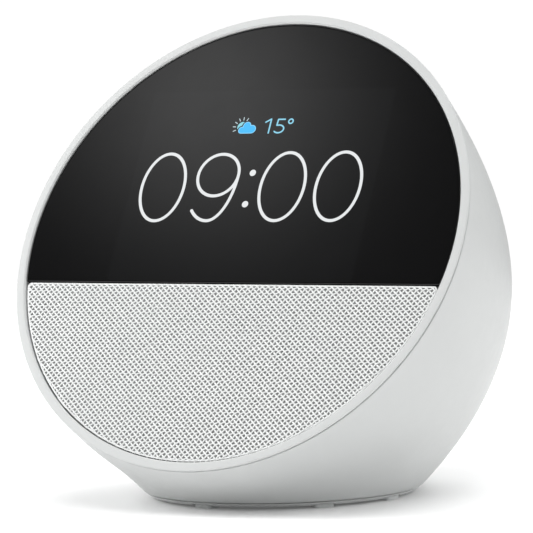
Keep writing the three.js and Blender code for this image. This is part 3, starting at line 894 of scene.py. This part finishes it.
def thread_path(origin, step, phase, wobble):
    """Stations along one thread within the cloth, four to a crossing, bent down at the cloth's edge."""
    reach = np.arange(-160, 160, 0.05)
    kept = reach[cloth_margin(origin[0] + reach * step[0], origin[1] + reach * step[1]) > 0.02]
    if len(kept) < 30:
        return None
    inner = np.arange(math.ceil(kept[0] * 4 + 1), math.floor(kept[-1] * 4)) / 4
    along = np.concatenate([kept[[0]], kept[[0]] + 0.12, inner, kept[[-1]] - 0.12, kept[[-1]]])
    along = np.unique(np.round(along, 3))
    x = origin[0] + along * step[0] + wobble * step[1]
    y = origin[1] + along * step[1] - wobble * step[0]
    edge = np.clip(CLOTH_BEND - cloth_margin(x, y), 0, CLOTH_BEND)
    drop = CLOTH_BEND - np.sqrt(CLOTH_BEND**2 - edge**2)
    wave = phase * THREAD_WAVE * np.cos(math.pi * along) * (1 - edge / CLOTH_BEND)
    return np.stack([x, y, CLOTH_LEVEL + wave - drop], -1)


def thread_tube(path, sides=6):
    """A flattened tube along a thread's stations."""
    ahead = np.gradient(path, axis=0)
    ahead /= np.linalg.norm(ahead, axis=1, keepdims=True)
    side = np.cross(ahead, (0.0, 0.0, 1.0))
    side /= np.linalg.norm(side, axis=1, keepdims=True)
    top = np.cross(side, ahead)
    turn = np.linspace(0, 2 * math.pi, sides, endpoint=False)
    ring = side[:, None] * (THREAD_HALF_WIDTH * np.cos(turn))[None, :, None]
    ring = ring + top[:, None] * (THREAD_HALF_HEIGHT * np.sin(turn))[None, :, None]
    return loft(path[:, None] + ring)


def weave_parts():
    """Two families of threads that cross on the diagonal, each over and under the other in turn."""
    chance = np.random.default_rng(4)
    parts = []
    for lean in (1, -1):
        step, across = THREAD_STEP * (1, lean), THREAD_STEP * (1, -lean)
        for index in range(-110, 111):
            phase = lean * (-1) ** index
            path = thread_path(index * across, step, phase, chance.normal(0, 0.025))
            if path is not None:
                parts.append(thread_tube(path))
    parts.append(ribbon(cloth_outline(0.2), 0.34, -0.9, -0.66, closed=True))
    return parts


def cloth_outline(inset, steps=120):
    """The cloth's outline, drawn in by inset."""
    corner_x, corner_y = cloth_corner()
    lean = math.degrees(math.atan2(corner_y, corner_x))
    corner = CLOTH_CORNER - inset
    return np.concatenate([
        arc(0, 0, CLOTH_RADIUS - inset, 180 - lean, 360 + lean, steps),
        arc(corner_x, corner_y, corner, lean, 90, 8), arc(-corner_x, corner_y, corner, 90, 180 - lean, 8)])


def build_cloth():
    cloth = make_piece(
        "speaker_cloth", weave_parts(), finishes["cloth"], FRONT_FRAME, smooth_angle=80)
    backing = make_piece(
        "cloth_scrim", [flat_plate(cloth_outline(0.2), -1.08, -1.0)], scrim(), FRONT_FRAME)
    settle(cloth, ["grille_cloth"])
    settle(backing)


# ---- Buttons ----
def button_cap(place, sides=96):
    """A round cap with a stud below, a rounded edge and a top that follows the case."""
    stud, low = 1.5, 0.5 - BUTTON_HEIGHT
    rows = [
        place.loop(radius, height, sides) for radius, height in (
            (0.05, -BUTTON_HEIGHT), (stud, -BUTTON_HEIGHT), (stud, low),
            (BUTTON_RADIUS - 0.2, low), (BUTTON_RADIUS, low + 0.2))]
    rows += [
        place.loop(BUTTON_RADIUS - inset, -sunk, sides, proud=BUTTON_PROUD)
        for inset, sunk in edge_steps(BUTTON_EDGE, 0, 18, 36, 54, 72, 90)]
    rows += [
        place.loop(radius, 0, sides, proud=BUTTON_PROUD)
        for radius in np.linspace(BUTTON_RADIUS - BUTTON_EDGE, 0.05, 9)[1:]]
    return loft(rows)


def on_button(place, part):
    """A flat mark, laid over a button's top."""
    points, faces = part
    x, y, z = points.T
    return place.points(x, y, z + place.surface(x, y, BUTTON_PROUD)), faces


def fine(points, step=0.15):
    """The same straight path with a point every step millimetres, so that it bends with the top."""
    points = np.asarray(points, float)
    count = max(2, int(np.linalg.norm(points[1] - points[0]) / step))
    return points[0] + np.linspace(0, 1, count)[:, None] * (points[1] - points[0])


def mark(path, closed=False):
    return ribbon(path, 0.3, -0.1, 0.07, closed)


def button_marks():
    """Minus, a struck-out microphone and plus, in millimetres on a button's top."""
    size = 1.15
    minus = [mark(fine([(-size, 0), (size, 0)]))]
    plus = minus + [mark(fine([(0, 0.2), (0, size)])), mark(fine([(0, -0.2), (0, -size)]))]
    capsule = np.concatenate([arc(0, 0.85, 0.42, 0, 180, 10), arc(0, 0.1, 0.42, 180, 360, 10)])
    microphone = [
        mark(capsule, closed=True), mark(arc(0, 0.1, 0.85, 190, 350, 16)),
        mark(fine([(0, -0.95), (0, -1.45)])), mark(fine([(-1.35, 1.35), (1.35, -1.35)]))]
    return {"volume_down": minus, "microphone_off": microphone, "volume_up": plus}


def build_buttons():
    grey = Finish("button_mark", (0.36, 0.37, 0.375), 0.5)
    grey.mottle(grey.noise(0.6, 3), 0.08)
    grey.relief(grey.noise(0.1, 2), 0.004)
    for index, (name, marks) in enumerate(button_marks().items()):
        place = button_place((index - 1) * BUTTON_SPACING)
        cap = make_piece(f"key_{name}", [button_cap(place)], finishes["ring_plastic"])
        sign = make_piece(f"mark_{name}", [on_button(place, part) for part in marks], grey.material)
        settle(cap, [f"button_{name}"], f"{name}_key")
        settle(sign, body=f"{name}_key")


# ---- Base and power inlet ----
def round_place(angle, radius):
    """A place under the case, at an angle from the front towards the right."""
    turn = math.radians(angle)
    return radius * math.sin(turn), -radius * math.cos(turn)


def rounded_block(width, length, low, high, corner, rounding):
    """A block with rounded corners and a rounded lower edge."""
    loops = []
    for rise, inset in edge_steps(rounding, 0, 30, 60, 90):
        outline = rounded_box(width - 2 * inset, length - 2 * inset, corner - inset)
        loops.append(at_height(outline, low + rise))
    loops.append(at_height(outline, high))
    return loft(loops)


def turned_to(part, angle, radius):
    """The same part at an angle and radius under the case, turned to face outward."""
    points, faces = part
    turn = math.radians(angle)
    x, y = points[:, 0], points[:, 1] - radius
    spun = [x * math.cos(turn) - y * math.sin(turn), x * math.sin(turn) + y * math.cos(turn), points[:, 2]]
    return np.stack(spun, -1), faces


def screw_well(angle):
    """A cutter for the stepped hole in which a screw is sunk."""
    x, y = round_place(angle, SCREW_RADIUS)
    seat, top = BASE_LOW + 1.4, EDGE_HEIGHT + BASE_PLUG_HEIGHT + 1
    outline = [
        (2.65, BASE_LOW - 1), (2.65, BASE_LOW - 0.01), (2.4, BASE_LOW + 0.25), (2.4, seat), (1.3, seat),
        (1.3, top)]
    return turned(outline, 48, x=x, y=y)


def foot_pocket(angle):
    pocket = rounded_block(5.2, 4.8, BASE_LOW - 1, BASE_LOW + 0.7, 0.9, 0.05)
    return turned_to(pocket, angle, FOOT_RADIUS)


def build_base_plate():
    """A round plate with a lip under the case and a plug that reaches into it."""
    lip, top, plug = EDGE_HEIGHT - BASE_LIP_GAP, EDGE_HEIGHT + BASE_PLUG_HEIGHT, EDGE_RADIUS - WALL - GAP
    edge = 0.25
    outline = [
        (0.05, BASE_LOW), *arc(30.1, BASE_LOW + edge, edge, -90, -45, 3),
        *arc(30.85, lip - edge, edge, -20, 90, 5), (plug, lip), (plug, top), (0.05, top)]
    plastic = finishes["shell_plastic"]
    plate = make_piece("bottom_plate", [turned(outline, ROUND_SIDES)], plastic, BASE_FRAME)
    cutters = [*map(screw_well, SCREW_ANGLES), *map(foot_pocket, FOOT_ANGLES)]
    tools = [make_piece(f"cutter{i}", [part], plastic, BASE_FRAME) for i, part in enumerate(cutters)]
    combine(plate, tools, "DIFFERENCE")
    settle(plate, ["base_plate"])


def build_feet():
    pale_rubber = soft("rubber", 0.6, 0.15, 0.006, color=(0.62, 0.635, 0.63))
    for number, angle in enumerate(FOOT_ANGLES, 1):
        block = turned_to(rounded_block(4.6, 4.2, 0, 1, 0.9, 0.25), angle, FOOT_RADIUS)
        foot = make_piece(f"pad_{number}", [block], pale_rubber, BASE_FRAME)
        settle(foot, [f"foot_{number}"])


def build_screw(number, angle):
    """A pan-head screw with a cross recess, sunk in the base plate."""
    x, y = round_place(angle, SCREW_RADIUS)
    outline = [
        (0.02, 0.8), (1.75, 0.8), (2.0, 0.9), (2.1, 1.15), (2.1, 1.8), (0.7, 1.9), (0.7, 7.8), (0.1, 8.3)]
    steel = finishes["steel"]
    screw = make_piece(f"bottom_screw_{number}", [turned(outline, 48, x=x, y=y)], steel, BASE_FRAME)
    slots = [
        moved(flat_plate(rounded_box(width, length, 0.15), 0, 1.1), x, y)
        for width, length in ((0.45, 2.3), (2.3, 0.45))]
    tools = [make_piece(f"slot{i}", [part], steel, BASE_FRAME) for i, part in enumerate(slots)]
    combine(screw, tools, "DIFFERENCE")
    settle(screw, [f"base_screw_{number}"])


def build_jack():
    """A socket with a square housing, a round barrel and a pin in its bore."""
    face, back, rounding = JACK_FACE_Y - 0.4, JACK_FACE_Y - 15, 0.25
    barrel = [
        (1.1, back), (JACK_RADIUS, back),
        *arc(JACK_RADIUS - rounding, face - rounding, rounding, 0, 90, 4),
        *arc(JACK_BORE + rounding, face - rounding, rounding, 90, 180, 4),
        (JACK_BORE, back + 4), (1.1, back + 4)]
    place = jack_axis.origin.z
    body = along_y(turned(barrel, 96, wrapped=True))
    housing = along_y(flat_plate(rounded_box(9.6, 9.6, 0.6), back, JACK_FACE_Y - 6.6))
    dark = finishes["dark_plastic"]
    socket = make_piece("power_socket", [moved(housing, z=place)], dark)
    bore = make_piece("bore", [moved(along_y(turned([(3.9, back - 1), (3.9, face)], 64)), z=place)], dark)
    combine(socket, [bore], "DIFFERENCE")
    combine(socket, [make_piece("barrel", [moved(body, z=place)], dark)], "UNION")
    settle(socket, ["power_jack"])
    tip = JACK_FACE_Y - 4.8
    outline = [(0.02, back + 1), (0.8, back + 1), *arc(0.3, tip - 0.5, 0.5, 0, 80, 5), (0.02, tip)]
    pin = make_piece("socket_pin", [moved(along_y(turned(outline, 48)), z=place)], finishes["steel"])
    settle(pin, ["power_jack_pin"])


# ---- Studio ----
ROOM_POWER = 0.36  # what matt surfaces see of the room
BACKDROP_POWER = 1.02  # what the camera sees of the room
GLOSSY_ROOM = 0.07  # what polished surfaces see of the room
GLOW_PLACE = (-17, 38)  # where its soft light shows in the glass
GLOW_POWER = 1.12
GLOW_SIZE = math.radians(1.5)


def build_camera():
    """The camera where the photograph's perspective puts it."""
    azimuth, elevation, roll = math.radians(29.912), math.radians(3.367), math.radians(1.585)
    distance, aside, below = 814.03, 6.63, 6.57
    flat = math.cos(elevation)
    back = Vector((math.sin(azimuth) * flat, -math.cos(azimuth) * flat, math.sin(elevation)))
    level = Vector((math.cos(azimuth), math.sin(azimuth), 0))
    upright = back.cross(level)
    right = math.cos(roll) * level - math.sin(roll) * upright
    up = math.sin(roll) * level + math.cos(roll) * upright
    camera = bpy.data.objects.new("camera", bpy.data.cameras.new("camera"))
    camera.data.sensor_width = 36
    camera.data.lens = 246.78
    camera.data.clip_end = 100
    camera.matrix_world = Matrix((right, up, back)).transposed().to_4x4()
    camera.location = (FACE_CENTRE + right * aside - up * below + back * distance) * MM
    bpy.context.scene.collection.objects.link(camera)
    bpy.context.scene.camera = camera


def area_light(name, place, size, power):
    """A round soft lamp, aimed at the middle of the front, that polished surfaces don't mirror."""
    light = bpy.data.lights.new(name, "AREA")
    light.shape = "DISK"
    light.size = size
    light.energy = power
    lamp = bpy.data.objects.new(name, light)
    lamp.location = place
    lamp.visible_glossy = False
    lamp.rotation_euler = (Vector(place) - FACE_CENTRE * MM).to_track_quat("Z", "Y").to_euler()
    bpy.context.scene.collection.objects.link(lamp)


def mirrored_in_glass(x, y):
    """The direction in which the camera sees the room mirrored at a place on the front."""
    place = FRONT_FRAME @ (Vector((x, y, GLASS_FACE)) * MM)
    sight = (place - bpy.context.scene.camera.matrix_world.translation).normalized()
    return sight - 2 * sight.dot(front_axis) * front_axis


def build_world():
    """An even white room that glossy surfaces see dark, but for one soft round light."""
    world = bpy.data.worlds.new("studio")
    bpy.context.scene.world = world
    world.use_nodes = True
    tree = world.node_tree
    nodes, links = tree.nodes, tree.links
    background = nodes["Background"].inputs
    background["Color"].default_value = (1, 1, 1, 1)
    direction = nodes.new("ShaderNodeTexCoord").outputs["Generated"]
    facing = nodes.new("ShaderNodeVectorMath")
    facing.operation = "DOT_PRODUCT"
    facing.inputs[1].default_value = mirrored_in_glass(*GLOW_PLACE)
    links.new(direction, facing.inputs[0])
    away = math_node(tree, "SUBTRACT", 1.0, facing.outputs["Value"])
    fade = math_node(tree, "POWER", math.e, math_node(tree, "MULTIPLY", away, -1 / GLOW_SIZE**2))
    glossy = math_node(tree, "MULTIPLY_ADD", fade, GLOW_POWER, GLOSSY_ROOM)
    scale = nodes.new("ShaderNodeMapRange")
    scale.inputs["To Min"].default_value = ROOM_POWER
    links.new(glossy, scale.inputs["To Max"])
    ray = nodes.new("ShaderNodeLightPath")
    links.new(ray.outputs["Is Glossy Ray"], scale.inputs["Value"])
    backdrop = math_node(tree, "MULTIPLY", ray.outputs["Is Camera Ray"], BACKDROP_POWER)
    strength = math_node(tree, "MAXIMUM", scale.outputs["Result"], backdrop)
    links.new(strength, background["Strength"])


def build_floor():
    finish = Finish("floor", (0.95, 0.95, 0.95), 0.9)
    finish.mottle(finish.noise(60, 2), 0.004)
    finish.set("Specular IOR Level", 0.0)
    finish.set("Emission Color", (1, 1, 1, 1))
    finish.set("Emission Strength", 0.05)
    slab = flat_plate(rounded_box(1300, 1300, 10), -2, 0)
    make_piece("floor", [slab], finish.material, Matrix())


def build_studio():
    build_world()
    build_floor()
    area_light("key", (-0.42, -0.24, 0.36), 0.35, 1.9)
    area_light("back", (0.1, 1.2, 1.5), 1.6, 19)
    area_light("top", (0.3, -0.5, 1.6), 1.2, 11)
    area_light("fill", (1.1, 0.35, 0.6), 1.0, 5)
    bpy.context.scene.view_settings.view_transform = "Standard"


finish_cad_nodes()
build_camera()
build_case()
build_ring()
build_glass()
build_picture()
build_cloth()
build_buttons()
build_base_plate()
build_feet()
for number, angle in enumerate(SCREW_ANGLES, 1):
    build_screw(number, angle)
build_jack()
build_studio()
